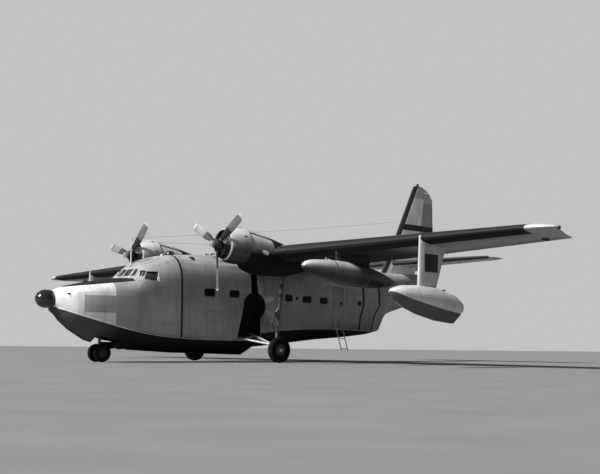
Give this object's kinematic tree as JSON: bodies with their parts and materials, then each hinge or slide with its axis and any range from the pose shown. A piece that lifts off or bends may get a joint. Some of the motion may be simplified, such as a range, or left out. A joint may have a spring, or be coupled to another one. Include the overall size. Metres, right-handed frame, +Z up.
{
  "type": "flying boat",
  "caption": "High-wing amphibious flying boat standing on wheels, with radial engines, wing floats and drop tanks, turning propellers and wheels, and hinged control surfaces.",
  "frame": {"origin": "on the ground under the middle of the overall length, on the centre line", "axes": "+X forward, +Y to port, +Z up"},
  "size_m": [19.16, 29.46, 7.83],
  "materials": {
    "skin": "satin",
    "light_paint": "satin",
    "black_paint": "satin",
    "gloss_black": "gloss",
    "doped_fabric": "satin",
    "gear_steel": "satin",
    "wheel_alloy": "satin",
    "tyre": "matte",
    "engine_iron": "satin",
    "propeller_alloy": "satin",
    "glass": "gloss",
    "seat_leather": "matte",
    "ladder_alloy": "satin"
  },
  "bodies": {
    "airframe": {"hull_bow": "skin", "radome": "gloss_black", "hull_centre": "skin", "hull_cabin": "skin", "tail_cone": "skin", "wing_centre": "skin", "wing_port": "skin", "wing_tip_port": "light_paint", "wing_starboard": "skin", "wing_tip_starboard": "light_paint", "nacelle_port": "skin", "cowl_port": "skin", "engine_port": "engine_iron", "nacelle_starboard": "skin", "cowl_starboard": "skin", "engine_starboard": "engine_iron", "float_port": "light_paint", "float_pylon_port": "light_paint", "float_starboard": "light_paint", "float_pylon_starboard": "light_paint", "drop_tank_port": "light_paint", "tank_pylon_port": "skin", "drop_tank_starboard": "light_paint", "tank_pylon_starboard": "skin", "fin": "skin", "tailplane": "skin", "main_leg_port": "gear_steel", "main_arms_port": "light_paint", "main_leg_starboard": "gear_steel", "main_arms_starboard": "light_paint", "nose_leg": "gear_steel", "nose_door_port": "black_paint", "nose_door_starboard": "black_paint", "cockpit_glass": "glass", "pilot_seat_port": "seat_leather", "pilot_seat_starboard": "seat_leather", "instrument_panel": "black_paint", "boarding_ladder": "ladder_alloy"},
    "propeller_port": {"propeller_port": "propeller_alloy"},
    "propeller_starboard": {"propeller_starboard": "propeller_alloy"},
    "main_wheel_port": {"main_tyre_port": "tyre", "main_rim_port": "wheel_alloy"},
    "main_wheel_starboard": {"main_tyre_starboard": "tyre", "main_rim_starboard": "wheel_alloy"},
    "nose_steering": {"nose_fork": "gear_steel"},
    "nose_wheels": {"nose_tyre_port": "tyre", "nose_rim_port": "wheel_alloy", "nose_tyre_starboard": "tyre", "nose_rim_starboard": "wheel_alloy"},
    "rudder": {"rudder": "doped_fabric"},
    "elevators": {"elevator_port": "doped_fabric", "elevator_starboard": "doped_fabric"},
    "aileron_port": {"aileron_port": "doped_fabric"},
    "aileron_starboard": {"aileron_starboard": "doped_fabric"},
    "flap_inner_port": {"flap_inner_port": "skin"},
    "flap_outer_port": {"flap_outer_port": "skin"},
    "flap_inner_starboard": {"flap_inner_starboard": "skin"},
    "flap_outer_starboard": {"flap_outer_starboard": "skin"},
    "entry_door": {"entry_door": "skin"}
  },
  "joints": [
    {"name": "propeller_port_spin", "type": "hinge", "parent": "airframe", "child": "propeller_port", "pos_m": [4.43, 2.88, 4.02], "axis": [1, 0, 0], "continuous": true},
    {"name": "propeller_starboard_spin", "type": "hinge", "parent": "airframe", "child": "propeller_starboard", "pos_m": [4.43, -2.88, 4.02], "axis": [1, 0, 0], "continuous": true},
    {"name": "main_wheel_port_spin", "type": "hinge", "parent": "airframe", "child": "main_wheel_port", "pos_m": [1.52, 2.685, 0.46], "axis": [0, 1, 0], "continuous": true},
    {"name": "main_wheel_starboard_spin", "type": "hinge", "parent": "airframe", "child": "main_wheel_starboard", "pos_m": [1.52, -2.685, 0.46], "axis": [0, 1, 0], "continuous": true},
    {"name": "nose_steer", "type": "hinge", "parent": "airframe", "child": "nose_steering", "pos_m": [7.21, 0, 0.9], "axis": [0, 0, 1], "range_deg": [-40, 40]},
    {"name": "nose_wheels_spin", "type": "hinge", "parent": "nose_steering", "child": "nose_wheels", "pos_m": [7.21, 0, 0.31], "axis": [0, 1, 0], "continuous": true},
    {"name": "rudder_hinge", "type": "hinge", "parent": "airframe", "child": "rudder", "pos_m": [-8.42, 0, 4], "axis": [-0.1413, 0, 0.99], "range_deg": [-25, 25]},
    {"name": "elevator_hinge", "type": "hinge", "parent": "airframe", "child": "elevators", "pos_m": [-8.3566, 0, 4.26], "axis": [0, 1, 0], "range_deg": [-20, 25]},
    {"name": "aileron_port_hinge", "type": "hinge", "parent": "airframe", "child": "aileron_port", "pos_m": [-0.1972, 8.4, 3.763], "axis": [0.117, 0.9931, -0.0002], "range_deg": [-20, 20]},
    {"name": "aileron_starboard_hinge", "type": "hinge", "parent": "airframe", "child": "aileron_starboard", "pos_m": [-0.1972, -8.4, 3.763], "axis": [-0.117, 0.9931, 0.0002], "range_deg": [-20, 20]},
    {"name": "flap_inner_port_hinge", "type": "hinge", "parent": "airframe", "child": "flap_inner_port", "pos_m": [-0.7192, 1.33, 3.7764], "axis": [0.0013, 1, -0.0048], "range_deg": [-40, 0]},
    {"name": "flap_inner_starboard_hinge", "type": "hinge", "parent": "airframe", "child": "flap_inner_starboard", "pos_m": [-0.7192, -1.33, 3.7764], "axis": [-0.0013, 1, 0.0048], "range_deg": [-40, 0]},
    {"name": "flap_outer_port_hinge", "type": "hinge", "parent": "airframe", "child": "flap_outer_port", "pos_m": [-0.7121, 4.08, 3.7632], "axis": [0.1184, 0.993, 0], "range_deg": [-40, 0]},
    {"name": "flap_outer_starboard_hinge", "type": "hinge", "parent": "airframe", "child": "flap_outer_starboard", "pos_m": [-0.7121, -4.08, 3.7632], "axis": [-0.1184, 0.993, 0], "range_deg": [-40, 0]},
    {"name": "entry_door_hinge", "type": "hinge", "parent": "airframe", "child": "entry_door", "pos_m": [-2.374, 1.146, 2.36], "axis": [0, 0, -1], "range_deg": [0, 100]}
  ],
  "couplings": [
    {"joint": "aileron_starboard_hinge", "follows": "aileron_port_hinge", "ratio": -1},
    {"joint": "flap_inner_starboard_hinge", "follows": "flap_inner_port_hinge", "ratio": 1},
    {"joint": "flap_outer_port_hinge", "follows": "flap_inner_port_hinge", "ratio": 1},
    {"joint": "flap_outer_starboard_hinge", "follows": "flap_inner_port_hinge", "ratio": 1}
  ]
}
